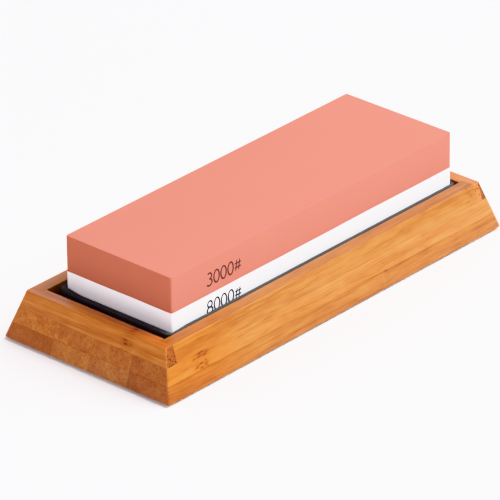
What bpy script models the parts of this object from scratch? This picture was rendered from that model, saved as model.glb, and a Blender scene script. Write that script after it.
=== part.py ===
"""A two-grit water stone for carving tools, with the tray and the bench base it is used in.

The stone is a coarse layer on a fine one. It stands in a rubber tray, which lies loose in the
recess of a laminated bamboo base on four rubber feet. The stone and the tray lift straight out.

Lengths are in metres. +Z is up, the long way is X, and the origin is the middle of the ground
that the feet stand on.
"""

import bmesh
import bpy
from mathutils import Matrix

MM = 0.001

# Clearance kept between solids that touch or are glued to each other.
GAP = 0.3 * MM

# The stone, which stands a little towards one end and one side of the recess.
STONE_LENGTH = 180 * MM
STONE_WIDTH = 60 * MM
STONE_HEIGHT = 30 * MM
COARSE_LAYER_HEIGHT = 16.8 * MM
STONE_X = 3.0 * MM
STONE_Y = -0.4 * MM
STONE_SINK = 6.0 * MM  # depth of its underside below the base's rim
STONE_CORNER_RADIUS = 0.8 * MM
STONE_EDGE_RADIUS = 0.4 * MM

# The rubber tray.
TRAY_WALL = 1.5 * MM
TRAY_END_PLAY = 1.8 * MM  # extra length of its pocket, left free at the stone's -X end
TRAY_CORNER_RADIUS = 2.5 * MM
TRAY_EDGE_RADIUS = 0.5 * MM
TRAY_LIP_DROP = 0.6 * MM  # depth of its lip below the base's rim
TRAY_FLOOR = 0.7 * MM
RIB_COUNT = 11
RIB_SPACING = 15.0 * MM
RIB_WIDTH = 2.0 * MM
RIB_LENGTH = 52.0 * MM
RIB_ROOT = 0.3 * MM  # how far a rib reaches into the floor it is moulded on

# The bamboo base: four rails on a plank of two plies of strips, with all four sides sloping.
BASE_LENGTH = 216 * MM
BASE_WIDTH = 95 * MM
RIM_LENGTH = 202 * MM
RIM_WIDTH = 80 * MM
BASE_HEIGHT = 21.5 * MM
RECESS_LENGTH = 190.2 * MM
RECESS_WIDTH = 67.4 * MM
RAIL_HEIGHT = 7.6 * MM
RAIL_SHOULDER = 2.3 * MM  # how far the side rails reach past the recess into the end rails
STRIP_JOINTS = (-23.4 * MM, -1.6 * MM, 20.2 * MM)
BASE_EDGE_RADIUS = 0.8 * MM

# The feet: thin round pads under the base's corners.
FOOT_RADIUS = 6.0 * MM
FOOT_HEIGHT = 1.0 * MM
FOOT_EDGE_RADIUS = 0.25 * MM
FOOT_X = 90 * MM
FOOT_Y = 34 * MM

# Heights above the ground that follow from those sizes.
WOOD_BOTTOM = FOOT_HEIGHT + GAP
RIM_Z = WOOD_BOTTOM + BASE_HEIGHT
RAIL_JOINT_Z = RIM_Z - RAIL_HEIGHT
PLY_JOINT_Z = (WOOD_BOTTOM + RAIL_JOINT_Z) / 2
TRAY_BOTTOM = RAIL_JOINT_Z + GAP / 2
STONE_BOTTOM = RIM_Z - STONE_SINK

# A limit far outside the base: blocks that reach for it end at the sloping faces.
OUTSIDE = 1.0

CORNER_SEGMENTS = 6
EDGE_SEGMENTS = 2
FOOT_SEGMENTS = 40

# Colour, roughness and metallic value of each material.
MATERIALS = {
    "coarse_stone": ((0.85, 0.34, 0.28), 0.85, 0.0),
    "fine_stone": ((0.88, 0.87, 0.86), 0.80, 0.0),
    "tray_rubber": ((0.03, 0.03, 0.035), 0.60, 0.0),
    "bamboo_rail": ((0.66, 0.30, 0.09), 0.45, 0.0),
    "bamboo_strip": ((0.60, 0.26, 0.07), 0.45, 0.0),
    "foot_rubber": ((0.04, 0.04, 0.04), 0.75, 0.0),
}


def clear_scene():
    for obj in list(bpy.data.objects):
        bpy.data.objects.remove(obj)


def make_material(name):
    colour, roughness, metallic = MATERIALS[name]
    material = bpy.data.materials.new(name)
    material.use_nodes = True
    shader = material.node_tree.nodes["Principled BSDF"]
    shader.inputs["Base Color"].default_value = (*colour, 1)
    shader.inputs["Roughness"].default_value = roughness
    shader.inputs["Metallic"].default_value = metallic
    material.diffuse_color = (*colour, 1)
    return material


def add_object(name, bm, material=None, location=(0, 0, 0), parent=None):
    """Links the finished bmesh to the scene as a named object and frees it."""
    bmesh.ops.recalc_face_normals(bm, faces=bm.faces)
    mesh = bpy.data.meshes.new(name)
    bm.to_mesh(mesh)
    bm.free()
    mesh.shade_smooth()
    mesh.set_sharp_from_angle(angle=0.6)
    if material:
        mesh.materials.append(material)
    obj = bpy.data.objects.new(name, mesh)
    obj.location = location
    obj.parent = parent
    bpy.context.scene.collection.objects.link(obj)
    return obj


def add_empty(name, location=(0, 0, 0), parent=None):
    empty = bpy.data.objects.new(name, None)
    empty.location = location
    empty.parent = parent
    bpy.context.scene.collection.objects.link(empty)
    return empty


def hide_helper(obj):
    obj.hide_render = True
    obj.display_type = "WIRE"


def add_boolean(obj, helper, operation):
    modifier = obj.modifiers.new(helper.name, "BOOLEAN")
    modifier.operation = operation
    modifier.solver = "EXACT"
    modifier.object = helper


def add_box(bm, size, centre):
    place = Matrix.Translation(centre) @ Matrix.Diagonal((*size, 1))
    bmesh.ops.create_cube(bm, size=1, matrix=place)


def bevel_edges(bm, edges, radius, segments):
    bmesh.ops.bevel(
        bm, geom=edges, offset=radius, segments=segments, profile=0.5, affect="EDGES"
    )


def rounded_slab(length, width, height, corner_radius, rounded_levels=(), edge_radius=0):
    """A slab standing on z = 0, with round upright corners and rounded edges at some levels."""
    bm = bmesh.new()
    add_box(bm, (length, width, height), (0, 0, height / 2))
    upright = [e for e in bm.edges if abs(e.verts[0].co.z - e.verts[1].co.z) > height / 2]
    bevel_edges(bm, upright, corner_radius, CORNER_SEGMENTS)
    for level in rounded_levels:
        around = [e for e in bm.edges if all(abs(v.co.z - level) < GAP / 10 for v in e.verts)]
        bevel_edges(bm, around, edge_radius, EDGE_SEGMENTS)
    return bm


def base_half_sizes(z):
    """Half the base's length and half its width at height z."""
    rise = (z - WOOD_BOTTOM) / BASE_HEIGHT
    half_length = (BASE_LENGTH + (RIM_LENGTH - BASE_LENGTH) * rise) / 2
    half_width = (BASE_WIDTH + (RIM_WIDTH - BASE_WIDTH) * rise) / 2
    return half_length, half_width


def clip(value, half):
    return max(-half, min(half, value))


def is_on_outside(face):
    """True for the base's sloping sides, its rim and its underside."""
    slopes = 0.1 < abs(face.normal.z) < 0.9
    level = face.calc_center_median().z
    at_top_or_bottom = min(abs(level - RIM_Z), abs(level - WOOD_BOTTOM)) < GAP / 10
    return slopes or at_top_or_bottom


def base_block(name, outline, z_limits, material, parent):
    """One bamboo piece: an outline cut off by the base's sloping sides, its outer edges eased."""
    bm = bmesh.new()
    rings = []
    for z in z_limits:
        half_length, half_width = base_half_sizes(z)
        corners = [(clip(x, half_length), clip(y, half_width)) for x, y in outline]
        rings.append([bm.verts.new((x, y, z)) for x, y in corners])
    bottom, top = rings
    bm.faces.new(bottom)
    bm.faces.new(top)
    for i in range(len(outline)):
        j = (i + 1) % len(outline)
        bm.faces.new((bottom[i], bottom[j], top[j], top[i]))
    lows = [min(v.co[axis] for v in bm.verts) for axis in range(3)]
    highs = [max(v.co[axis] for v in bm.verts) for axis in range(3)]
    centre = [(low + high) / 2 for low, high in zip(lows, highs)]
    bmesh.ops.recalc_face_normals(bm, faces=bm.faces)
    outer_edges = [e for e in bm.edges if all(is_on_outside(f) for f in e.link_faces)]
    bevel_edges(bm, outer_edges, BASE_EDGE_RADIUS, EDGE_SEGMENTS)
    bmesh.ops.translate(bm, verts=bm.verts, vec=[-c for c in centre])
    return add_object(name, bm, material, centre, parent)


def spans(joints):
    """The stretches between neighbouring glue joints, each short of the joint by half a gap."""
    ends = [-OUTSIDE, *joints, OUTSIDE]
    return [(a + GAP / 2, b - GAP / 2) for a, b in zip(ends, ends[1:])]


def rectangle(x0, x1, y0, y1):
    return ((x0, y0), (x1, y0), (x1, y1), (x0, y1))


def make_plank(material, parent):
    """Two plies of full-length strips, with the joints of one over the joints of the other."""
    plies = (
        ("lower", (WOOD_BOTTOM, PLY_JOINT_Z - GAP / 2)),
        ("upper", (PLY_JOINT_Z + GAP / 2, RAIL_JOINT_Z - GAP / 2)),
    )
    for ply, z_limits in plies:
        for number, (y0, y1) in enumerate(spans(STRIP_JOINTS), start=1):
            strip = rectangle(-OUTSIDE, OUTSIDE, y0, y1)
            base_block(f"{ply}_ply_strip_{number}", strip, z_limits, material, parent)


def make_rails(material, parent):
    """Two side rails, and two end rails over the full width with a shoulder for each side rail."""
    z_limits = (RAIL_JOINT_Z + GAP / 2, RIM_Z)
    inner_x = RECESS_LENGTH / 2
    inner_y = RECESS_WIDTH / 2
    shoulder_x = inner_x + RAIL_SHOULDER
    side_x = shoulder_x - GAP
    tongue_y = inner_y - GAP
    end_rail = (
        (shoulder_x, -OUTSIDE),
        (OUTSIDE, -OUTSIDE),
        (OUTSIDE, OUTSIDE),
        (shoulder_x, OUTSIDE),
        (shoulder_x, tongue_y),
        (inner_x, tongue_y),
        (inner_x, -tongue_y),
        (shoulder_x, -tongue_y),
    )
    side_rail = rectangle(-side_x, side_x, inner_y, OUTSIDE)
    rails = (
        ("end_rail_left", [(-x, y) for x, y in end_rail]),
        ("end_rail_right", end_rail),
        ("side_rail_front", [(x, -y) for x, y in side_rail]),
        ("side_rail_back", side_rail),
    )
    for name, outline in rails:
        base_block(name, outline, z_limits, material, parent)


def make_feet(material, parent):
    bm = bmesh.new()
    bmesh.ops.create_cone(
        bm,
        cap_ends=True,
        segments=FOOT_SEGMENTS,
        radius1=FOOT_RADIUS,
        radius2=FOOT_RADIUS,
        depth=FOOT_HEIGHT,
        matrix=Matrix.Translation((0, 0, FOOT_HEIGHT / 2)),
    )
    bottom_edges = [e for e in bm.edges if all(v.co.z < GAP / 10 for v in e.verts)]
    bevel_edges(bm, bottom_edges, FOOT_EDGE_RADIUS, EDGE_SEGMENTS)
    first = add_object("foot_front_left", bm, material, (-FOOT_X, -FOOT_Y, 0), parent)
    others = (
        ("foot_front_right", FOOT_X, -FOOT_Y),
        ("foot_back_left", -FOOT_X, FOOT_Y),
        ("foot_back_right", FOOT_X, FOOT_Y),
    )
    for name, x, y in others:
        foot = bpy.data.objects.new(name, first.data)
        foot.location = (x, y, 0)
        foot.parent = parent
        bpy.context.scene.collection.objects.link(foot)


def make_tray(material, parent):
    """A shallow rubber tray with an open pocket and cross ribs that the stone stands on."""
    pocket_length = STONE_LENGTH + 2 * GAP + TRAY_END_PLAY
    pocket_width = STONE_WIDTH + 2 * GAP
    height = RIM_Z - TRAY_LIP_DROP - TRAY_BOTTOM
    body = rounded_slab(
        pocket_length + 2 * TRAY_WALL,
        pocket_width + 2 * TRAY_WALL,
        height,
        TRAY_CORNER_RADIUS,
        (0, height),
        TRAY_EDGE_RADIUS,
    )
    tray = add_object("rubber_tray", body, material, (0, 0, 0), parent)

    pocket_shape = rounded_slab(
        pocket_length, pocket_width, height, STONE_CORNER_RADIUS + GAP
    )
    pocket = add_object("tray_pocket", pocket_shape, None, (0, 0, TRAY_FLOOR), parent)
    hide_helper(pocket)
    add_boolean(tray, pocket, "DIFFERENCE")

    rib_top = STONE_BOTTOM - GAP - TRAY_BOTTOM
    rib_bottom = TRAY_FLOOR - RIB_ROOT
    rib_size = (RIB_WIDTH, RIB_LENGTH, rib_top - rib_bottom)
    ribs_shape = bmesh.new()
    for i in range(RIB_COUNT):
        x = (i - (RIB_COUNT - 1) / 2) * RIB_SPACING
        add_box(ribs_shape, rib_size, (x, 0, (rib_top + rib_bottom) / 2))
    ribs = add_object("tray_ribs", ribs_shape, None, (0, 0, 0), parent)
    hide_helper(ribs)
    add_boolean(tray, ribs, "UNION")


def make_stone(coarse, fine, parent):
    """The fine layer below and the coarse layer on it, bonded over their whole faces."""
    joint = STONE_HEIGHT - COARSE_LAYER_HEIGHT
    fine_height = joint - GAP / 2
    coarse_height = COARSE_LAYER_HEIGHT - GAP / 2
    plan = (STONE_LENGTH, STONE_WIDTH)
    fine_shape = rounded_slab(*plan, fine_height, STONE_CORNER_RADIUS, (0,), STONE_EDGE_RADIUS)
    add_object("stone_fine_layer", fine_shape, fine, (0, 0, 0), parent)
    coarse_shape = rounded_slab(
        *plan, coarse_height, STONE_CORNER_RADIUS, (coarse_height,), STONE_EDGE_RADIUS
    )
    add_object("stone_coarse_layer", coarse_shape, coarse, (0, 0, joint + GAP / 2), parent)


def main():
    clear_scene()
    materials = {name: make_material(name) for name in MATERIALS}
    base = add_empty("base")
    tray_x = STONE_X - TRAY_END_PLAY / 2
    tray_lift = add_empty("tray_lift", (tray_x, STONE_Y, TRAY_BOTTOM), base)
    stone_place = (STONE_X - tray_x, 0, STONE_BOTTOM - TRAY_BOTTOM)
    stone_lift = add_empty("stone_lift", stone_place, tray_lift)
    make_feet(materials["foot_rubber"], base)
    make_plank(materials["bamboo_strip"], base)
    make_rails(materials["bamboo_rail"], base)
    make_tray(materials["tray_rubber"], tray_lift)
    make_stone(materials["coarse_stone"], materials["fine_stone"], stone_lift)


main()
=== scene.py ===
"""The looks of a two-grit water stone on its bamboo bench base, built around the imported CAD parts.

The frame is the CAD's: metres, +Z up, X along the stone, and the origin on the ground under the
middle of the base. The side with the printed grit numbers faces -Y.
"""

import math

import bmesh
import bpy
from mathutils import Matrix, Vector, noise


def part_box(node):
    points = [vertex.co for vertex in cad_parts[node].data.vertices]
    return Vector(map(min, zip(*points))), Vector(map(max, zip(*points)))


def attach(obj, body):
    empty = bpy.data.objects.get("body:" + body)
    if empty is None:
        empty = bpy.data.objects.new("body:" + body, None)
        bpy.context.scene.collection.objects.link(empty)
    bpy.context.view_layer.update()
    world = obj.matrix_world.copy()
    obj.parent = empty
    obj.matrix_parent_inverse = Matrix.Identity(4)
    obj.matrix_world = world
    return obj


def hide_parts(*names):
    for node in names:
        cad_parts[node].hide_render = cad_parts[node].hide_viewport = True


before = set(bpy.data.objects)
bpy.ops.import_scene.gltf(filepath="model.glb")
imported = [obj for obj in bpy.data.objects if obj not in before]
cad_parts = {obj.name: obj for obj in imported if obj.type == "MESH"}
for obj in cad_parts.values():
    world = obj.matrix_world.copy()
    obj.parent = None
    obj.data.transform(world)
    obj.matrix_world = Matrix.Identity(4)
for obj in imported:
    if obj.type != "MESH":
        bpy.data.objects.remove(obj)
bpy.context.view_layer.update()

MM = 0.001

# Edges that turn by more than this, in radians, are shaded sharp.
SHARP_ANGLE = 0.6
RUBBER_SHARP_ANGLE = 0.9

# The sloping sides of the base, as the CAD has them.
BASE_LENGTH = 216 * MM
BASE_WIDTH = 95 * MM
RIM_LENGTH = 202 * MM
RIM_WIDTH = 80 * MM

# The base's level edges are eased. Its four slanted corners are rounded, from one radius at the
# rim to a radius of their own at the foot, which is keyed by the corner's sides of X and Y.
EDGE_RADIUS = 0.16 * MM
EDGE_SEGMENTS = 5
RIM_CORNER_RADIUS = 0.6 * MM
FOOT_CORNER_RADII = {(-1, -1): 0.9 * MM, (-1, 1): 1.8 * MM, (1, -1): 2.6 * MM, (1, 1): 2.0 * MM}
CORNER_SEGMENTS = 8
GLUE_LINE = 0.06 * MM

# The stone's rounding, and how far the bond between its layers wanders up and down.
STONE_CORNER_RADIUS = 0.85 * MM
STONE_EDGE_RADIUS = 0.3 * MM
BOND_WANDER = 0.2 * MM

# The tray. At the -X end its lip is turned in and sags towards the stone, and it rises at the
# corner on the +Y side.
TRAY_WALL = 1.5 * MM
TRAY_CORNER_RADIUS = 2.5 * MM
TRAY_FLOOR = 0.7 * MM
TRAY_FOOT_RADIUS = 0.4 * MM
TRAY_FILLET = 0.5 * MM
TRAY_LIP_RADIUS = 0.55 * MM
TRAY_LIP_GAP = 0.15 * MM  # from the turned-in lip to the stone
TRAY_LIP_SAG = 0.75 * MM
TRAY_SAG_REACH = 8 * MM  # from the tray's end
TRAY_SAG_FADE = 5 * MM
TRAY_CORNER_RISE = 0.9 * MM
TRAY_CORNER_REACH = 12.0 * MM
RIB_COUNT = 11
RIB_SPACING = 15.0 * MM
RIB_WIDTH = 2.0 * MM
RIB_LENGTH = 52.0 * MM
RIB_ROUNDING = 0.3 * MM

# The grit numbers.
INK_HEIGHT = 0.03 * MM
INK_LAYER = 0.002 * MM  # each stroke of a glyph stands this much prouder than the one before
INK_DEPTH = 0.02 * MM  # how far the ink goes into the stone
STROKE = 0.80 * MM
SIGN_STROKE = 0.66 * MM
DIGIT_WIDTH = 4.1 * MM
DIGIT_HEIGHT = 6.6 * MM
DIGIT_PITCH = 4.37 * MM
NUMBER_START = 21.6 * MM  # from the stone's -X end to the first digit
SIGN_WIDTH = 4.5 * MM
SIGN_HEIGHT = 5.4 * MM
SIGN_RISE = 0.6 * MM
COARSE_NUMBER_RISE = 3.6 * MM  # from the bond up to the coarse number's foot
FINE_NUMBER_DROP = 2.9 * MM  # from the bond down to the fine number's top

# Colours are linear. A tone multiplies a colour.
COARSE_COLOUR = (0.395, 0.143, 0.107)
COARSE_SPECK = (0.35, 0.10, 0.07)
# Painted shade, multiplied into the coarse layer's faces that look along Y and along X.
COARSE_SIDE_PAINTED_SHADE = (0.96, 0.96, 0.94)
COARSE_END_PAINTED_SHADE = (1.0, 0.89, 0.75)
FINE_COLOUR = (0.79, 0.80, 0.82)
FINE_SPECK = (0.62, 0.62, 0.66)
PLAIN_TONE = (1.0, 1.0, 1.0)
COARSE_INK = (0.060, 0.010, 0.008)
COARSE_INK_WORN = (0.30, 0.10, 0.08)
FINE_INK = (0.015, 0.016, 0.024)
FINE_INK_WORN = (0.30, 0.30, 0.33)
DUST_COLOUR = (0.35, 0.34, 0.36)
TRAY_COLOUR = (0.044, 0.045, 0.047)
FOOT_COLOUR = (0.02, 0.02, 0.021)
FLOOR_COLOUR = (0.93, 0.94, 0.95)
# Partly worn stain and partly a painted highlight, on the base's rounded edges.
EDGE_WEAR_AND_HIGHLIGHT = (0.62, 0.34, 0.15)
# Painted shade and a painted pink reflection of the stone, on the base's level tops.
RIM_PAINTED_SHADE_AND_REFLECTION = (0.84, 0.74, 0.70)
WARM_TONE = (1.04, 0.87, 0.4)
# Painted shade on the upright walls of the recess.
RECESS_PAINTED_SHADE = (0.34, 0.21, 0.5)

# A culm's node shows as dashes of about this size.
DASH_LENGTH_MM = 3.6
DASH_WIDTH_MM = 1.8

# The stain is warmer at the -X end, fully up to the first place along X and not past the second.
WARM_FULL_MM = -86.0
WARM_NONE_MM = -45.0

# The camera of a product photo: a long lens, low over the object's near corner, turned a little.
CAMERA_AZIMUTH = -47.862
CAMERA_ELEVATION = 27.353
CAMERA_ROLL = -0.731
CAMERA_DISTANCE = 2.4459
CAMERA_TARGET_MM = (-10.157, -5.246, 20.0)  # from the middle of the wood's underside
CAMERA_LENS_MM = 412.4376
SENSOR_WIDTH_MM = 36.0


# ---------------------------------------------------------------- helpers


def add_piece(name, bm, material, body, nodes=(), sharp_angle=SHARP_ANGLE):
    """Makes the finished bmesh a piece of the object that rides on a body."""
    bmesh.ops.recalc_face_normals(bm, faces=bm.faces)
    mesh = bpy.data.meshes.new(name)
    bm.to_mesh(mesh)
    bm.free()
    mesh.shade_smooth()
    mesh.set_sharp_from_angle(angle=sharp_angle)
    mesh.materials.append(material)
    piece = bpy.data.objects.new(name, mesh)
    bpy.context.scene.collection.objects.link(piece)
    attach(piece, body)
    if nodes:
        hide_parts(*nodes)


def bridge(bm, ring_a, ring_b):
    """A band of faces between two rings with the same number of points."""
    count = len(ring_a)
    for i in range(count):
        j = (i + 1) % count
        bm.faces.new((ring_a[i], ring_a[j], ring_b[j], ring_b[i]))


def round_edges(bm, edges, radius, segments):
    """Rounds edges, and gives back the points that this makes."""
    made = bmesh.ops.bevel(
        bm, geom=edges, offset=radius, segments=segments, profile=0.5, affect="EDGES"
    )
    return made["verts"]


def close_rings(bm, rings):
    """Closes a stack of rings into one solid."""
    bm.faces.new(rings[0])
    bm.faces.new(rings[-1])
    for ring_a, ring_b in zip(rings, rings[1:]):
        bridge(bm, ring_a, ring_b)


def filled_outline(corners, steps_of):
    """An outline whose sides are split into so many steps as steps_of says for their length."""
    points = []
    for i, point in enumerate(corners):
        points.append(point)
        following = corners[(i + 1) % len(corners)]
        steps = steps_of(math.dist(point, following))
        for k in range(1, steps):
            share = k / steps
            points.append(tuple(a + (b - a) * share for a, b in zip(point, following)))
    return points


def middle_and_half(node):
    """The middle of a CAD box and half its sizes, each as (x, y, z)."""
    sides = list(zip(*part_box(node)))
    return [(low + high) / 2 for low, high in sides], [(high - low) / 2 for low, high in sides]


def rounded_rectangle(half_x, half_y, radius, segments):
    """Points round a rectangle with rounded corners, anticlockwise from the +X side."""
    points = []
    for quarter in range(4):
        middle_x = (half_x - radius) * (1 if quarter in (0, 3) else -1)
        middle_y = (half_y - radius) * (1 if quarter in (0, 1) else -1)
        for i in range(segments + 1):
            angle = (quarter + i / segments) * math.pi / 2
            x = middle_x + radius * math.cos(angle)
            y = middle_y + radius * math.sin(angle)
            points.append((x, y))
    return points


# ---------------------------------------------------------------- shaders


class Shader:
    """A material on one Principled BSDF, whose node tree is built by short calls."""

    def __init__(self, name):
        self.material = bpy.data.materials.new(name)
        self.material.use_nodes = True
        self.tree = self.material.node_tree
        self.surface = self.tree.nodes["Principled BSDF"]

    def node(self, kind, **settings):
        made = self.tree.nodes.new("ShaderNode" + kind)
        for key, value in settings.items():
            setattr(made, key, value)
        return made

    def feed(self, socket, value):
        if isinstance(value, bpy.types.NodeSocket):
            self.tree.links.new(value, socket)
        else:
            socket.default_value = value

    def math(self, operation, *values):
        made = self.node("Math", operation=operation)
        for socket, value in zip(made.inputs, values):
            self.feed(socket, value)
        return made.outputs[0]

    def add(self, *values):
        total = values[0]
        for value in values[1:]:
            total = self.math("ADD", total, value)
        return total

    def times(self, a, b):
        return self.math("MULTIPLY", a, b)

    def smooth(self, value, low, high, start=0.0, end=1.0):
        """Goes smoothly from start to end as value goes from low to high."""
        made = self.node("MapRange", interpolation_type="SMOOTHSTEP")
        self.feed(made.inputs["Value"], value)
        made.inputs["From Min"].default_value = low
        made.inputs["From Max"].default_value = high
        made.inputs["To Min"].default_value = start
        made.inputs["To Max"].default_value = end
        return made.outputs["Result"]

    def millimetres(self):
        """The three object coordinates, in millimetres."""
        coordinates = self.node("TexCoord").outputs["Object"]
        scaled = self.node("VectorMath", operation="SCALE")
        self.feed(scaled.inputs[0], coordinates)
        scaled.inputs["Scale"].default_value = 1 / MM
        apart = self.node("SeparateXYZ")
        self.feed(apart.inputs[0], scaled.outputs[0])
        return apart.outputs

    def vector(self, x, y, z):
        made = self.node("CombineXYZ")
        for socket, value in zip(made.inputs, (x, y, z)):
            self.feed(socket, value)
        return made.outputs[0]

    def normals(self):
        """The three parts of the surface's direction."""
        apart = self.node("SeparateXYZ")
        self.feed(apart.inputs[0], self.node("TexCoord").outputs["Normal"])
        return apart.outputs

    def channels(self, colour):
        apart = self.node("SeparateColor")
        self.feed(apart.inputs[0], colour)
        return apart.outputs

    def noise(self, vector, scale=1.0, detail=2.0, roughness=0.5):
        made = self.node("TexNoise")
        self.feed(made.inputs["Vector"], vector)
        made.inputs["Scale"].default_value = scale
        made.inputs["Detail"].default_value = detail
        made.inputs["Roughness"].default_value = roughness
        return made.outputs["Fac"]

    def cells(self, vector, scale=1.0, randomness=1.0, dimensions="3D"):
        """Distance to the nearest cell's middle, and that cell's random colour."""
        made = self.node("TexVoronoi", voronoi_dimensions=dimensions)
        self.feed(made.inputs["Vector"], vector)
        made.inputs["Scale"].default_value = scale
        made.inputs["Randomness"].default_value = randomness
        return made.outputs["Distance"], made.outputs["Color"]

    def mix(self, share, a, b, blend="MIX"):
        made = self.node("Mix", data_type="RGBA", blend_type=blend)
        made.clamp_factor = True
        self.feed(made.inputs["Factor"], share)
        for socket, value in ((made.inputs[6], a), (made.inputs[7], b)):
            if isinstance(value, tuple):
                value = (*value, 1.0)
            self.feed(socket, value)
        return made.outputs[2]

    def scale_colour(self, colour, factor):
        made = self.node("VectorMath", operation="SCALE")
        self.feed(made.inputs[0], colour)
        self.feed(made.inputs["Scale"], factor)
        return made.outputs[0]

    def bump(self, height, distance, strength=1.0):
        """Bump from a height of 0 to 1 that stands for so many metres."""
        made = self.node("Bump")
        self.feed(made.inputs["Height"], height)
        made.inputs["Distance"].default_value = distance
        made.inputs["Strength"].default_value = strength
        self.feed(self.surface.inputs["Normal"], made.outputs["Normal"])

    def finish(self, colour, roughness, **constants):
        self.feed(self.surface.inputs["Base Color"], colour)
        self.feed(self.surface.inputs["Roughness"], roughness)
        for key, value in constants.items():
            self.surface.inputs[key.replace("_", " ")].default_value = value
        return self.material


def stone_material(name, colour, speck_colour, seed, side_painted_shade, end_painted_shade):
    """Fine sintered grit: a close mottle, small darker and lighter grains and a matte skin.

    The two face tones are painted shade: they deepen the colour of the faces that look along Y and
    along X, against the top and bottom.
    """
    shader = Shader(name)
    x, y, z = shader.millimetres()
    place = shader.vector(shader.add(x, seed), y, z)
    cloud = shader.noise(place, scale=0.06, detail=3)
    mottle = shader.noise(place, scale=0.9, detail=3, roughness=0.6)
    grit = shader.noise(place, scale=5.0, detail=1)
    tone = shader.add(
        0.925,
        shader.times(cloud, 0.05),
        shader.times(mottle, 0.06),
        shader.times(grit, 0.04),
    )
    base = shader.scale_colour(colour, tone)
    distance, cell = shader.cells(place, scale=0.55)
    chosen = shader.math("GREATER_THAN", shader.channels(cell)[0], 0.86)
    speck = shader.times(shader.smooth(distance, 0.06, 0.16, 1.0, 0.0), chosen)
    speckled = shader.mix(shader.times(speck, 0.35), base, speck_colour)
    # Painted shade: the faces that look along Y and along X are multiplied by their tones.
    normal_x, normal_y, _ = shader.normals()
    for normal, face_painted_shade in ((normal_y, side_painted_shade), (normal_x, end_painted_shade)):
        facing = shader.smooth(shader.math("ABSOLUTE", normal), 0.6, 0.9)
        speckled = shader.mix(facing, speckled, face_painted_shade, blend="MULTIPLY")
    roughness = shader.smooth(mottle, 0.3, 0.7, 0.78, 0.92)
    height = shader.add(shader.times(grit, 0.6), shader.times(mottle, 0.4))
    shader.bump(height, 0.05 * MM, 0.5)
    return shader.finish(speckled, roughness, Specular_IOR_Level=0.15)


def rubber_material(name, colour, dust):
    """Moulded rubber with a satin skin and a little pale dust lying in it."""
    shader = Shader(name)
    x, y, z = shader.millimetres()
    place = shader.vector(x, y, z)
    cloud = shader.noise(place, scale=0.12, detail=3)
    fine = shader.noise(place, scale=3.0, detail=2, roughness=0.6)
    settled = shader.times(shader.smooth(cloud, 0.45, 0.75), shader.smooth(fine, 0.5, 0.7))
    tinted = shader.mix(shader.times(settled, dust), colour, DUST_COLOUR)
    roughness = shader.smooth(fine, 0.3, 0.7, 0.6, 0.75)
    shader.bump(fine, 0.03 * MM, 0.4)
    return shader.finish(tinted, roughness, Specular_IOR_Level=0.15)


def ink_material(name, colour, worn_colour):
    """Thin printed ink that lets a little of the stone through where it is worn."""
    shader = Shader(name)
    x, y, z = shader.millimetres()
    fine = shader.noise(shader.vector(x, y, z), scale=2.2, detail=3, roughness=0.65)
    worn = shader.smooth(fine, 0.6, 0.8, 0.0, 0.25)
    tinted = shader.mix(worn, colour, worn_colour)
    roughness = shader.smooth(fine, 0.3, 0.7, 0.6, 0.75)
    shader.bump(fine, 0.02 * MM, 0.3)
    return shader.finish(tinted, roughness, Specular_IOR_Level=0.3)


def knot_marks(shader, along, down, wander, knots):
    """How much darker the culm's nodes make the wood: short dashes in bands across the grain."""
    marks = 0.0
    for knot_at, half_width, strength in knots:
        offset = shader.math("ABSOLUTE", shader.add(along, -knot_at))
        band = shader.smooth(offset, half_width * 0.3, half_width * 1.2, strength, 0.0)
        marks = shader.math("MAXIMUM", band, marks)
    wander_along, wander_down = wander
    place = shader.vector(
        shader.add(shader.times(along, 1 / DASH_LENGTH_MM), shader.times(wander_along, 1.8)),
        shader.add(shader.times(down, 1 / DASH_WIDTH_MM), shader.times(wander_down, 1.2)),
        0.0,
    )
    distance, cell = shader.cells(place, randomness=0.9, dimensions="2D")
    kept = shader.math("GREATER_THAN", shader.channels(cell)[0], 0.3)
    dashes = shader.times(shader.smooth(distance, 0.05, 0.6, 0.95, 0.0), kept)
    return shader.times(marks, shader.add(0.24, dashes))


def shaded(shader, colour, shade):
    """Wood of a shade: a darker streak is also redder, as green and blue fall faster than red."""
    tinted = shader.node("CombineColor")
    for socket, channel, power in zip(tinted.inputs, shader.channels(colour), (0.75, 1.3, 1.9)):
        shader.feed(socket, shader.times(channel, shader.math("POWER", shade, power)))
    return tinted.outputs[0]


def eased_edges(shader, normals):
    """1 on the rounded edges of the rim, of the foot and of the slanted corners."""
    normal_x, normal_y, slope = normals
    rim = shader.times(
        shader.smooth(slope, 0.4, 0.62), shader.smooth(slope, 0.86, 0.98, 1.0, 0.0)
    )
    foot = shader.times(
        shader.smooth(slope, -0.9, -0.5), shader.smooth(slope, -0.1, 0.2, 1.0, 0.0)
    )
    turned = shader.math("ABSOLUTE", shader.times(normal_x, normal_y))
    corner = shader.smooth(turned, 0.15, 0.35)
    return shader.math("MAXIMUM", shader.math("MAXIMUM", rim, corner), foot)


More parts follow.
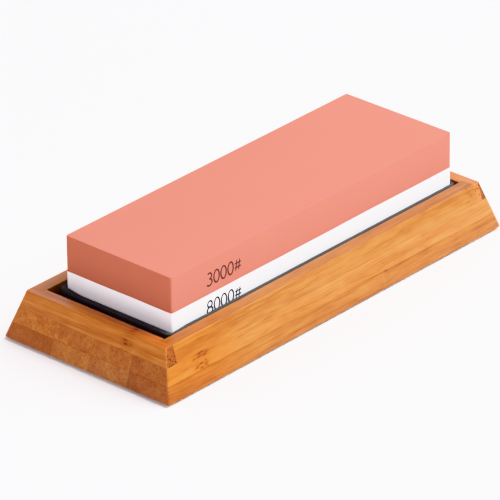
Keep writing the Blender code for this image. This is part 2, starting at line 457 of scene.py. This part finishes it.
def bamboo_material(name, along_x, seed, colour, end_colour, knots, bundles, skin):
    """Caramel bamboo under clear satin lacquer, with its grain along X or along Y.

    colour is the mean colour of the long grain, and end_colour that of the faces that cut across
    it. knots lists where the culm's nodes cross the piece: (place along the grain in millimetres,
    half width of the mark, strength). bundles is how close and how dark the dots of cut fibre are.
    skin is where the culm's dark outer skin begins across a cut end, and how dark it is.
    """
    shader = Shader(name)
    x, y, z = shader.millimetres()
    true_along, true_across = (x, y) if along_x else (y, x)
    along = shader.add(true_along, seed * 37.0)
    across = shader.add(true_across, seed * 11.0)
    bend_place = shader.vector(shader.times(along, 0.018), shader.times(across, 0.05), z)
    bend = shader.add(shader.noise(bend_place, detail=1), -0.5)
    across = shader.add(across, shader.times(bend, 1.6))
    height = shader.add(z, bend)

    def stretched(length, width):
        return shader.vector(
            shader.times(along, 1 / length),
            shader.times(across, 1 / width),
            shader.times(height, 1 / width),
        )

    def streaks(length, width, detail=2.0):
        return shader.add(shader.noise(stretched(length, width), detail=detail), -0.5)

    broad = streaks(110, 7.0, 1.0)
    middle = streaks(45, 1.7)
    fine = streaks(10, 0.5)
    patches = streaks(8, 4.0, 3.0)
    fibre_distance, _ = shader.cells(stretched(20, 0.8))
    fibre = shader.smooth(fibre_distance, 0.1, 0.36, 1.0, 0.0)

    # The faces that cut across the grain drink more stain and show the fibre bundles as dots.
    normals = shader.normals()
    facing = shader.math("ABSOLUTE", normals[0 if along_x else 1])
    end_grain = shader.smooth(facing, 0.55, 0.85)
    bundle_scale, bundle_depth = bundles
    bundle_distance, _ = shader.cells(shader.vector(along, across, height), scale=bundle_scale)
    bundle = shader.smooth(bundle_distance, 0.15, 0.45, 1.0, 0.0)

    mean = shader.mix(end_grain, colour, end_colour)
    if along_x:
        long_grain = shader.smooth(facing, 0.3, 0.6, 1.0, 0.0)
        warmth = shader.times(shader.smooth(x, WARM_FULL_MM, WARM_NONE_MM, 1.0, 0.0), long_grain)
        mean = shader.mix(warmth, mean, WARM_TONE, blend="MULTIPLY")
    if skin:
        skin_start, skin_tone = skin
        outer = shader.times(end_grain, shader.smooth(true_across, skin_start, skin_start + 0.5))
        mean = shader.mix(outer, mean, skin_tone, blend="MULTIPLY")
    shade = shader.add(
        1.0,
        shader.times(broad, 0.7),
        shader.times(middle, 0.8),
        shader.times(fine, 0.85),
        shader.times(patches, 0.35),
        shader.times(shader.add(fibre, -0.25), -0.12),
        shader.times(shader.times(shader.add(bundle, -0.3), end_grain), -bundle_depth),
    )
    if knots:
        down = shader.add(true_across, z, seed * 5.3)
        marks = knot_marks(shader, true_along, down, (middle, fine), knots)
        shade = shader.math("SUBTRACT", shade, marks)
    tinted = shaded(shader, mean, shader.math("MAXIMUM", shade, 0.15))

    # The level tops of the rim are multiplied by a painted shade that also paints in a pink
    # reflection of the stone. The upright walls of the recess are painted darker as shade. The
    # rounded edges are painted lighter: partly sanding that has thinned the stain, partly a painted
    # highlight.
    slope = normals[2]
    # Painted shade and a painted pink reflection on the level tops.
    level = shader.smooth(slope, 0.97, 0.995)
    colour_with_painted_shade = shader.mix(level, tinted, RIM_PAINTED_SHADE_AND_REFLECTION, blend="MULTIPLY")
    # Painted shade on the upright walls of the recess.
    upright = shader.smooth(shader.math("ABSOLUTE", slope), 0.05, 0.15, 1.0, 0.0)
    colour_with_painted_shade = shader.mix(upright, colour_with_painted_shade, RECESS_PAINTED_SHADE, blend="MULTIPLY")
    # Partly worn stain, partly a painted highlight, on the rounded edges.
    wear_and_highlight_patches = shader.smooth(patches, -0.3, 0.2, 0.0, 0.06)
    edge_wear_and_highlight = shader.times(eased_edges(shader, normals), wear_and_highlight_patches)
    worn = shader.mix(edge_wear_and_highlight, colour_with_painted_shade, EDGE_WEAR_AND_HIGHLIGHT)

    roughness = shader.add(0.42, shader.times(fine, 0.3))
    grain_height = shader.add(shader.times(fine, 0.8), shader.times(fibre, -0.35), 0.5)
    shader.bump(grain_height, 0.04 * MM, 0.35)
    return shader.finish(
        worn, roughness, Coat_Weight=0.35, Coat_Roughness=0.3, Specular_IOR_Level=0.15
    )


# ---------------------------------------------------------------- bamboo base

WOOD_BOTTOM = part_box("lower_ply_strip_1")[0].z
RIM_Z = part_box("end_rail_left")[1].z
RECESS_HALF_LENGTH = -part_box("end_rail_left")[1].x
RECESS_HALF_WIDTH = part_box("side_rail_back")[0].y
SIDE_RAIL_END = (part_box("side_rail_back")[1].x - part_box("side_rail_back")[0].x) / 2
OUTSIDE = 1.0  # well past the base, for outlines that its sloping sides cut off
LEVEL_TOLERANCE = GLUE_LINE / 4
LEVEL_NORMAL = 0.9  # a face's normal has a larger Z than this if the face is level
UPRIGHT_NORMAL = 0.1
STRIP_COUNT = 4

# Each piece of bamboo has a seed of its own, counted from these, that sets its grain.
UPPER_PLY_SEED = 10
RAIL_SEED = 21


def rise_share(z):
    """0 at the underside of the wood and 1 at the rim."""
    return (z - WOOD_BOTTOM) / (RIM_Z - WOOD_BOTTOM)


def base_half_sizes(z):
    """Half the base's length and half its width at height z."""
    rise = rise_share(z)
    half_length = (BASE_LENGTH + (RIM_LENGTH - BASE_LENGTH) * rise) / 2
    half_width = (BASE_WIDTH + (RIM_WIDTH - BASE_WIDTH) * rise) / 2
    return half_length, half_width


def clip(value, half):
    return max(-half, min(half, value))


def is_sloping(face):
    return UPRIGHT_NORMAL < abs(face.normal.z) < LEVEL_NORMAL


def is_slanted(edge, side_x, side_y):
    """True for the edge where two sloping sides meet, at one corner of the base."""
    middle = (edge.verts[0].co + edge.verts[1].co) / 2
    at_corner = middle.x * side_x > 0 and middle.y * side_y > 0
    return at_corner and all(is_sloping(f) for f in edge.link_faces)


def is_rim_or_foot_edge(edge):
    """True for the edges round the rim, round the mouth of the recess and round the underside."""
    for level in (RIM_Z, WOOD_BOTTOM):
        if all(abs(v.co.z - level) < LEVEL_TOLERANCE for v in edge.verts):
            return any(is_sloping(f) or is_on_recess(f) for f in edge.link_faces)
    return False


def is_on_recess(face):
    """True for the upright walls of the recess."""
    middle = face.calc_center_median()
    at_end = abs(abs(middle.x) - RECESS_HALF_LENGTH) < LEVEL_TOLERANCE
    at_side = abs(abs(middle.y) - RECESS_HALF_WIDTH) < LEVEL_TOLERANCE
    return abs(face.normal.z) < UPRIGHT_NORMAL and (at_end or at_side)


def round_slanted_corner(bm, side_x, side_y, radius):
    """Rounds a slanted corner to its radius at the foot, and draws it in towards the rim."""
    edges = [e for e in bm.edges if is_slanted(e, side_x, side_y)]
    for vert in round_edges(bm, edges, radius, CORNER_SEGMENTS):
        half_length, half_width = base_half_sizes(vert.co.z)
        sharp = Vector((side_x * half_length, side_y * half_width, vert.co.z))
        keep = 1 + (RIM_CORNER_RADIUS / radius - 1) * rise_share(vert.co.z)
        vert.co = sharp + (vert.co - sharp) * keep


def base_block(node, outline, z_limits, material):
    """One bamboo piece: an outline cut off by the base's sloping sides, with eased edges."""
    bm = bmesh.new()
    rings = []
    for z in z_limits:
        half_length, half_width = base_half_sizes(z)
        corners = [(clip(x, half_length), clip(y, half_width)) for x, y in outline]
        rings.append([bm.verts.new((x, y, z)) for x, y in corners])
    close_rings(bm, rings)
    bmesh.ops.recalc_face_normals(bm, faces=bm.faces)
    for (side_x, side_y), radius in FOOT_CORNER_RADII.items():
        round_slanted_corner(bm, side_x, side_y, radius)
    round_edges(bm, [e for e in bm.edges if is_rim_or_foot_edge(e)], EDGE_RADIUS, EDGE_SEGMENTS)
    add_piece(node + "_bamboo", bm, material, "base", [node])


def rectangle(x0, x1, y0, y1):
    return ((x0, y0), (x1, y0), (x1, y1), (x0, y1))


# Mean colour of each bamboo piece: (along the grain, across the grain).
BAMBOO_COLOURS = {
    "end_rail_left": ((0.348, 0.115, 0.0235), (0.158, 0.035, 0.003)),
    "end_rail_right": ((0.32, 0.115, 0.026), (0.275, 0.090, 0.018)),
    "side_rail_front": ((0.263, 0.105, 0.0205), (0.28, 0.085, 0.017)),
    "side_rail_back": ((0.29, 0.115, 0.026), (0.28, 0.085, 0.017)),
    "upper_ply_strip_1": ((0.308, 0.130, 0.0265), (0.253, 0.073, 0.015)),
    "upper_ply_strip_2": ((0.31, 0.12, 0.027), (0.287, 0.085, 0.0155)),
    "upper_ply_strip_3": ((0.31, 0.12, 0.027), (0.297, 0.090, 0.0165)),
    "upper_ply_strip_4": ((0.31, 0.12, 0.027), (0.332, 0.104, 0.0165)),
    "lower_ply_strip_1": ((0.24, 0.086, 0.0135), (0.238, 0.066, 0.013)),
    "lower_ply_strip_2": ((0.31, 0.12, 0.027), (0.287, 0.095, 0.021)),
    "lower_ply_strip_3": ((0.31, 0.12, 0.027), (0.310, 0.100, 0.019)),
    "lower_ply_strip_4": ((0.31, 0.12, 0.027), (0.256, 0.066, 0.009)),
}

# Where the culm's nodes cross a piece: (place along the grain in mm, half width in mm, strength).
KNOTS = {
    "end_rail_left": ((-19.0, 3.4, 0.55),),
    "side_rail_front": ((92.5, 3.5, 0.25),),
    "upper_ply_strip_1": ((-84.3, 6.0, 0.55), (60.0, 3.5, 0.2)),
    "lower_ply_strip_1": ((32.5, 2.0, 0.4),),
}

# Where the dark outer skin begins across a piece's cut end, in millimetres, and its tone.
SKINS = {"end_rail_right": (99.7, (0.46, 0.40, 0.35))}

# The dots of cut fibre: how many to the millimetre, and how dark.
RAIL_BUNDLES = (0.8, 1.15)
STRIP_BUNDLES = (1.05, 0.35)


def bamboo_piece(node, outline, z_limits, along_x, slot, seed):
    """One rail or strip, with the colours, knots and skin that are listed for it."""
    colour, end_colour = BAMBOO_COLOURS[node]
    bundles = RAIL_BUNDLES if slot == "bamboo_rail" else STRIP_BUNDLES
    knots, skin = KNOTS.get(node, ()), SKINS.get(node)
    name = "bamboo_" + node
    material = bamboo_material(name, along_x, seed, colour, end_colour, knots, bundles, skin)
    base_block(node, outline, z_limits, material)


def build_plank():
    """The eight strips of the two plies, meeting in hairline glue joints."""
    half_gap = (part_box("upper_ply_strip_2")[0].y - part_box("upper_ply_strip_1")[1].y) / 2
    play = half_gap - GLUE_LINE / 2
    for ply in ("upper", "lower"):
        for number in range(1, STRIP_COUNT + 1):
            node = f"{ply}_ply_strip_{number}"
            low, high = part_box(node)
            y0 = -OUTSIDE if number == 1 else low.y - play
            y1 = OUTSIDE if number == STRIP_COUNT else high.y + play
            z0 = WOOD_BOTTOM if ply == "lower" else low.z - play
            outline = rectangle(-OUTSIDE, OUTSIDE, y0, y1)
            seed = number + (UPPER_PLY_SEED if ply == "upper" else 0)
            bamboo_piece(node, outline, (z0, high.z + play), True, "bamboo_strip", seed)


def build_rails():
    """The frame round the recess: two side rails let into two full-width end rails."""
    rail_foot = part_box("side_rail_back")[0].z
    half_gap = (rail_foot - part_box("upper_ply_strip_4")[1].z) / 2
    z_limits = (rail_foot - half_gap + GLUE_LINE / 2, RIM_Z)
    shoulder_x = SIDE_RAIL_END + GLUE_LINE
    inner_x, inner_y = RECESS_HALF_LENGTH, RECESS_HALF_WIDTH
    tongue_y = inner_y - GLUE_LINE
    end_rail = (
        (shoulder_x, -OUTSIDE),
        (OUTSIDE, -OUTSIDE),
        (OUTSIDE, OUTSIDE),
        (shoulder_x, OUTSIDE),
        (shoulder_x, tongue_y),
        (inner_x, tongue_y),
        (inner_x, -tongue_y),
        (shoulder_x, -tongue_y),
    )
    side_rail = rectangle(-SIDE_RAIL_END, SIDE_RAIL_END, inner_y, OUTSIDE)
    rails = (
        ("end_rail_left", [(-x, y) for x, y in end_rail], False),
        ("end_rail_right", end_rail, False),
        ("side_rail_front", [(x, -y) for x, y in side_rail], True),
        ("side_rail_back", side_rail, True),
    )
    for seed, (node, outline, along_x) in enumerate(rails, start=RAIL_SEED):
        bamboo_piece(node, outline, z_limits, along_x, "bamboo_rail", seed)


# ---------------------------------------------------------------- feet

FOOT_SIDES = 64

# A foot's radius and height in millimetres, from the rim of its dished underside to its top.
FOOT_PROFILE_MM = (
    (3.6, 0.12),
    (4.6, 0.0),
    (5.5, 0.0),
    (5.78, 0.06),
    (5.94, 0.2),
    (6.0, 0.4),
    (6.0, 0.95),
    (5.9, 1.2),
    (5.7, 1.3),
)


def build_feet():
    """Thin round rubber pads with a rolled edge and a shallow dished underside."""
    material = rubber_material("foot_rubber", FOOT_COLOUR, dust=0.3)
    for side_y in ("front", "back"):
        for side_x in ("left", "right"):
            node = f"foot_{side_y}_{side_x}"
            (middle_x, middle_y, _), _ = middle_and_half(node)
            bm = bmesh.new()
            rings = []
            for radius, level in FOOT_PROFILE_MM:
                ring = []
                for i in range(FOOT_SIDES):
                    angle = 2 * math.pi * i / FOOT_SIDES
                    x = middle_x + radius * MM * math.cos(angle)
                    y = middle_y + radius * MM * math.sin(angle)
                    ring.append(bm.verts.new((x, y, level * MM)))
                rings.append(ring)
            close_rings(bm, rings)
            add_piece(node + "_pad", bm, material, "base", [node], RUBBER_SHARP_ANGLE)


# ---------------------------------------------------------------- tray

WALL_STEPS = 6
LIP_STEPS = 10
TRAY_CORNER_SEGMENTS = 10
TRAY_SIDE_STEPS = 24
TRAY_SHORTEST_SIDE = 10 * MM  # the steps round a corner are all shorter
RIB_CLEARANCE = 0.05 * MM
RIB_SINK = 0.1 * MM
RIB_SEGMENTS = 3


def tray_profile(top, bottom):
    """The tray wall's section as (inset, z), from the underside over the lip to the floor."""
    wall, lip = TRAY_WALL, TRAY_LIP_RADIUS
    outside_low = bottom + TRAY_FOOT_RADIUS
    wall_top = top - lip
    outside_height = wall_top - bottom - TRAY_FOOT_RADIUS
    inside_height = wall_top - bottom - TRAY_FLOOR - TRAY_FILLET
    profile = [(1.0 * MM, bottom), (0.25 * MM, bottom + 0.1 * MM), (0.0, outside_low)]
    for i in range(1, WALL_STEPS):
        profile.append((0.0, outside_low + outside_height * i / WALL_STEPS))
    for i in range(LIP_STEPS + 1):
        angle = math.pi * i / LIP_STEPS
        profile.append((wall / 2 - wall / 2 * math.cos(angle), wall_top + lip * math.sin(angle)))
    for i in range(1, WALL_STEPS):
        profile.append((wall, wall_top - inside_height * i / WALL_STEPS))
    profile += [
        (wall, bottom + TRAY_FLOOR + TRAY_FILLET),
        (wall + 0.15 * MM, bottom + TRAY_FLOOR + 0.15 * MM),
        (wall + TRAY_FILLET, bottom + TRAY_FLOOR),
    ]
    return profile


def tray_outline(half_x, half_y, radius):
    """A rounded rectangle with extra points along its sides, for the lip to bend at."""
    corners = rounded_rectangle(half_x, half_y, radius, TRAY_CORNER_SEGMENTS)
    return filled_outline(
        corners, lambda length: TRAY_SIDE_STEPS if length > TRAY_SHORTEST_SIDE else 1
    )


def add_ribs(bm, middle_x, middle_y, floor_z):
    """Cross ribs on the tray's floor, just clear of the stone that stands on them."""
    rib_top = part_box("stone_fine_layer")[0].z - RIB_CLEARANCE
    rib_bottom = floor_z - RIB_SINK
    for i in range(RIB_COUNT):
        x = middle_x + (i - (RIB_COUNT - 1) / 2) * RIB_SPACING
        size = Matrix.Diagonal((RIB_WIDTH, RIB_LENGTH, rib_top - rib_bottom, 1))
        place = Matrix.Translation((x, middle_y, (rib_top + rib_bottom) / 2))
        verts = set(bmesh.ops.create_cube(bm, size=1, matrix=place @ size)["verts"])
        upper_edges = [
            e for e in bm.edges
            if e.verts[0] in verts and all(v.co.z > floor_z for v in e.verts)
        ]
        round_edges(bm, upper_edges, RIB_ROUNDING, RIB_SEGMENTS)


def build_tray():
    """A shallow moulded tray: rounded lip, open pocket, floor and cross ribs."""
    low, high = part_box("rubber_tray")
    top, bottom = high.z, low.z
    (middle_x, middle_y, _), (half_x, half_y, _) = middle_and_half("rubber_tray")
    # At the -X end, where the pocket is longer than the stone, the lip is turned in to meet it.
    turn_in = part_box("stone_fine_layer")[0].x - TRAY_LIP_GAP - low.x - TRAY_WALL
    bm = bmesh.new()
    rings = []
    for inset, z in tray_profile(top, bottom):
        bend = max(0.0, (z - bottom) / (top - bottom)) ** 2
        inward = min(inset / TRAY_WALL, 1.0)
        moved = turn_in * inward * bend
        radius = max(TRAY_CORNER_RADIUS - inset, 1.0 * MM)
        ring = []
        for x, y in tray_outline(half_x - inset - moved / 2, half_y - inset, radius):
            x += moved / 2
            at_corner = bend * corner_share(x, y, -half_x, half_y)
            at_end = min(max((TRAY_SAG_REACH - half_x - x) / TRAY_SAG_FADE, 0.0), 1.0) * inward
            sag = TRAY_LIP_SAG * bend * at_end * (1 - at_corner)
            height = z + TRAY_CORNER_RISE * at_corner - sag
            ring.append(bm.verts.new((middle_x + x, middle_y + y, height)))
        rings.append(ring)
    close_rings(bm, rings)
    add_ribs(bm, middle_x, middle_y, bottom + TRAY_FLOOR)
    material = rubber_material("tray_rubber", TRAY_COLOUR, dust=0.15)
    nodes = ["rubber_tray"]
    add_piece("tray_shell", bm, material, "tray", nodes, RUBBER_SHARP_ANGLE)


def corner_share(x, y, corner_x, corner_y):
    """1 at a corner, going smoothly to 0 at a distance from it."""
    share = max(0.0, 1 - math.dist((x, y), (corner_x, corner_y)) / TRAY_CORNER_REACH)
    return share * share * (3 - 2 * share)


# ---------------------------------------------------------------- stone

STONE_EDGE_STEPS = 5
STONE_CORNER_SEGMENTS = 6
STONE_POINT_SPACING = 2 * MM
BOND_Z = (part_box("stone_fine_layer")[1].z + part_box("stone_coarse_layer")[0].z) / 2
BOND_GAP = 0.01 * MM
BOND_WAVES = (30 * MM, 18 * MM)  # how long the bond's waves are along X and along Y
BOND_SLICE = 4.2  # where the waves cut through the 3-D noise


def bond_height(x, y, level):
    """The height of the bond between the layers, which wanders a little up and down."""
    place = Vector((x / BOND_WAVES[0], y / BOND_WAVES[1], BOND_SLICE))
    return level + noise.noise(place) * BOND_WANDER


def stone_outline(half_x, half_y, radius):
    """A rounded rectangle with evenly spaced points along its sides, for the uneven bond."""
    corners = rounded_rectangle(half_x, half_y, radius, STONE_CORNER_SEGMENTS)
    return filled_outline(corners, lambda length: int(length / STONE_POINT_SPACING))


def stone_slab(outline_levels, level):
    """A slab from rings of (inset, z or None), where None stands for the uneven bond."""
    (middle_x, middle_y, _), (half_x, half_y, _) = middle_and_half("stone_fine_layer")
    bm = bmesh.new()
    rings = []
    for inset, z in outline_levels:
        radius = STONE_CORNER_RADIUS - inset
        ring = []
        for x, y in stone_outline(half_x - inset, half_y - inset, radius):
            x += middle_x
            y += middle_y
            ring.append(bm.verts.new((x, y, bond_height(x, y, level) if z is None else z)))
        rings.append(ring)
    close_rings(bm, rings)
    return bm


def build_stone():
    """The white fine layer and the pink coarse layer that is bonded on it."""
    bottom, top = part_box("stone_fine_layer")[0].z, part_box("stone_coarse_layer")[1].z
    bottom_edge = []
    for i in range(STONE_EDGE_STEPS + 1):
        angle = math.pi / 2 * i / STONE_EDGE_STEPS
        inset = STONE_EDGE_RADIUS * (1 - math.sin(angle))
        bottom_edge.append((inset, bottom + STONE_EDGE_RADIUS * (1 - math.cos(angle))))
    top_edge = [(inset, top - (z - bottom)) for inset, z in reversed(bottom_edge)]
    fine = stone_slab([*bottom_edge, (0.0, None)], BOND_Z)
    coarse = stone_slab([(0.0, None), *top_edge], BOND_Z + BOND_GAP)
    fine_material = stone_material(
        "fine_stone",
        FINE_COLOUR,
        FINE_SPECK,
        seed=3.0,
        side_painted_shade=PLAIN_TONE,
        end_painted_shade=PLAIN_TONE,
    )
    coarse_material = stone_material(
        "coarse_stone",
        COARSE_COLOUR,
        COARSE_SPECK,
        seed=7.0,
        side_painted_shade=COARSE_SIDE_PAINTED_SHADE,
        end_painted_shade=COARSE_END_PAINTED_SHADE,
    )
    add_piece("fine_layer", fine, fine_material, "stone", ["stone_fine_layer"])
    add_piece(
        "coarse_layer", coarse, coarse_material, "stone", ["stone_coarse_layer"]
    )


# ---------------------------------------------------------------- grit numbers


def arc_points(centre, radius_x, radius_z, start, end, count):
    """Points on part of an ellipse, angles in degrees from +X towards +Z."""
    points = []
    for i in range(count + 1):
        angle = math.radians(start + (end - start) * i / count)
        x = centre[0] + radius_x * math.cos(angle)
        z = centre[1] + radius_z * math.sin(angle)
        points.append((x, z))
    return points


def glyph_strokes(glyph):
    """The pen strokes of one glyph in a box of width 1 and height 1: (points, closed)."""
    if glyph == "0":
        return [(arc_points((0.5, 0.5), 0.5, 0.5, 0, 360, 32)[:-1], True)]
    if glyph == "8":
        upper = arc_points((0.5, 0.75), 0.42, 0.25, 0, 360, 28)[:-1]
        lower = arc_points((0.5, 0.26), 0.5, 0.26, 0, 360, 28)[:-1]
        return [(upper, True), (lower, True)]
    if glyph == "3":
        upper = arc_points((0.47, 0.765), 0.43, 0.235, 135, -90, 20)
        lower = arc_points((0.45, 0.265), 0.52, 0.265, 90, -148, 22)
        return [(upper, False), (lower, False)]
    bars = [([(x, 0.0), (x + 0.2, 1.0)], False) for x in (0.14, 0.6)]
    return bars + [([(0.0, z), (1.0, z)], False) for z in (0.3, 0.7)]


def add_stroke(bm, points, closed, width, front_y, back_y):
    """A thin solid ribbon along points (x, z), standing between two planes of y."""
    count = len(points)
    rings = []
    for i, (x, z) in enumerate(points):
        before = points[(i - 1) % count] if closed or i > 0 else points[i]
        after = points[(i + 1) % count] if closed or i < count - 1 else points[i]
        along = Vector((after[0] - before[0], after[1] - before[1])).normalized()
        side = Vector((-along.y, along.x)) * width / 2
        ring = [
            bm.verts.new((x + side.x, back_y, z + side.y)),
            bm.verts.new((x + side.x, front_y, z + side.y)),
            bm.verts.new((x - side.x, front_y, z - side.y)),
            bm.verts.new((x - side.x, back_y, z - side.y)),
        ]
        rings.append(ring)
    for i in range(count if closed else count - 1):
        bridge(bm, rings[i], rings[(i + 1) % count])
    if not closed:
        bm.faces.new(rings[0])
        bm.faces.new(rings[-1])


def build_number(name, text, baseline, material):
    """A grit number printed on the stone's -Y side, as thin raised ink."""
    low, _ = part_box("stone_fine_layer")
    bm = bmesh.new()
    for place, glyph in enumerate(text):
        width, height, rise, stroke = DIGIT_WIDTH, DIGIT_HEIGHT, 0.0, STROKE
        if glyph == "#":
            width, height, rise, stroke = SIGN_WIDTH, SIGN_HEIGHT, SIGN_RISE, SIGN_STROKE
        start_x = low.x + NUMBER_START + place * DIGIT_PITCH + stroke / 2
        start_z = baseline + rise + stroke / 2
        for layer, (points, closed) in enumerate(glyph_strokes(glyph)):
            placed = [
                (start_x + x * (width - stroke), start_z + z * (height - stroke))
                for x, z in points
            ]
            front_y = low.y - INK_HEIGHT - layer * INK_LAYER
            add_stroke(bm, placed, closed, stroke, front_y, low.y + INK_DEPTH)
    add_piece(name, bm, material, "stone")


def build_numbers():
    """The two grit numbers, one on each layer of the stone."""
    coarse_ink = ink_material("coarse_number_ink", COARSE_INK, COARSE_INK_WORN)
    fine_ink = ink_material("fine_number_ink", FINE_INK, FINE_INK_WORN)
    coarse_foot = BOND_Z + COARSE_NUMBER_RISE
    fine_foot = BOND_Z - FINE_NUMBER_DROP - DIGIT_HEIGHT
    build_number("coarse_grit_number", "3000#", coarse_foot, coarse_ink)
    build_number("fine_grit_number", "8000#", fine_foot, fine_ink)


# ---------------------------------------------------------------- stage


FLOOR_SIZE = 12.0
LIGHTS_FACE = Vector((0, 0, 0.02))
WORLD_COLOUR = (0.97, 0.95, 1.0, 1.0)
WORLD_STRENGTH = 0.38

# Each light's direction from the object, distance, size, watts and colour.
LIGHTS = {
    "key": ((0.49, -0.39, 0.78), 1.6, 1.4, 80, (1, 1, 1)),
    "backdrop": ((0.66, 0.60, 0.42), 2.2, 2.0, 17, (1, 1, 1)),
    "left_fill": ((-1, -0.2, 0.5), 1.8, 1.0, 17, (1.0, 0.86, 0.88)),
    "front_fill": ((0.1, -1, 0.25), 1.8, 0.7, 7, (1, 1, 1)),
}


def build_floor():
    """The plain pale floor."""
    bm = bmesh.new()
    bmesh.ops.create_grid(bm, x_segments=1, y_segments=1, size=FLOOR_SIZE)
    mesh = bpy.data.meshes.new("floor")
    bm.to_mesh(mesh)
    bm.free()
    shader = Shader("floor")
    x, y, z = shader.millimetres()
    cloud = shader.noise(shader.vector(x, y, z), scale=0.01, detail=2)
    tone = shader.smooth(cloud, 0.2, 0.8, 0.985, 1.0)
    colour = shader.scale_colour(FLOOR_COLOUR, tone)
    mesh.materials.append(shader.finish(colour, 0.9, Specular_IOR_Level=0.1))
    floor = bpy.data.objects.new("floor", mesh)
    bpy.context.scene.collection.objects.link(floor)


def add_light(name, direction, distance, size, watts, colour):
    """A square area light, so far off in a direction and facing the middle of the object."""
    data = bpy.data.lights.new(name, "AREA")
    data.energy = watts
    data.size = size
    data.color = colour
    light = bpy.data.objects.new(name, data)
    away = Vector(direction).normalized()
    light.location = LIGHTS_FACE + away * distance
    light.rotation_euler = away.to_track_quat("Z", "Y").to_euler()
    bpy.context.scene.collection.objects.link(light)


def build_lights():
    """The soft light of the studio: a pale world and four area lights."""
    world = bpy.data.worlds.new("studio")
    world.use_nodes = True
    background = world.node_tree.nodes["Background"]
    background.inputs["Color"].default_value = WORLD_COLOUR
    background.inputs["Strength"].default_value = WORLD_STRENGTH
    bpy.context.scene.world = world
    for name, settings in LIGHTS.items():
        add_light(name, *settings)


def build_camera():
    """The camera, turned a little about its own line of sight."""
    azimuth = math.radians(CAMERA_AZIMUTH)
    elevation = math.radians(CAMERA_ELEVATION)
    roll = math.radians(CAMERA_ROLL)
    target = Vector(CAMERA_TARGET_MM) * MM + Vector((0, 0, WOOD_BOTTOM))
    level = math.cos(elevation)
    back = Vector((math.sin(azimuth) * level, -math.cos(azimuth) * level, math.sin(elevation)))
    right = Vector((0, 0, 1)).cross(back).normalized()
    up = back.cross(right)
    right_turned = right * math.cos(roll) + up * math.sin(roll)
    up_turned = up * math.cos(roll) - right * math.sin(roll)
    data = bpy.data.cameras.new("camera")
    data.sensor_width = SENSOR_WIDTH_MM
    data.lens = CAMERA_LENS_MM
    data.clip_end = 100.0
    camera = bpy.data.objects.new("camera", data)
    axes = Matrix((right_turned, up_turned, back)).transposed()
    camera.matrix_world = Matrix.Translation(target + back * CAMERA_DISTANCE) @ axes.to_4x4()
    bpy.context.scene.collection.objects.link(camera)
    bpy.context.scene.camera = camera


def set_tone():
    """The tone that keeps a product's colours as they are."""
    view = bpy.context.scene.view_settings
    view.view_transform = "Khronos PBR Neutral"
    view.look = "None"
    view.exposure = 0.0
    view.gamma = 1.0


build_plank()
build_rails()
build_feet()
build_tray()
build_stone()
build_numbers()
build_floor()
build_lights()
build_camera()
set_tone()
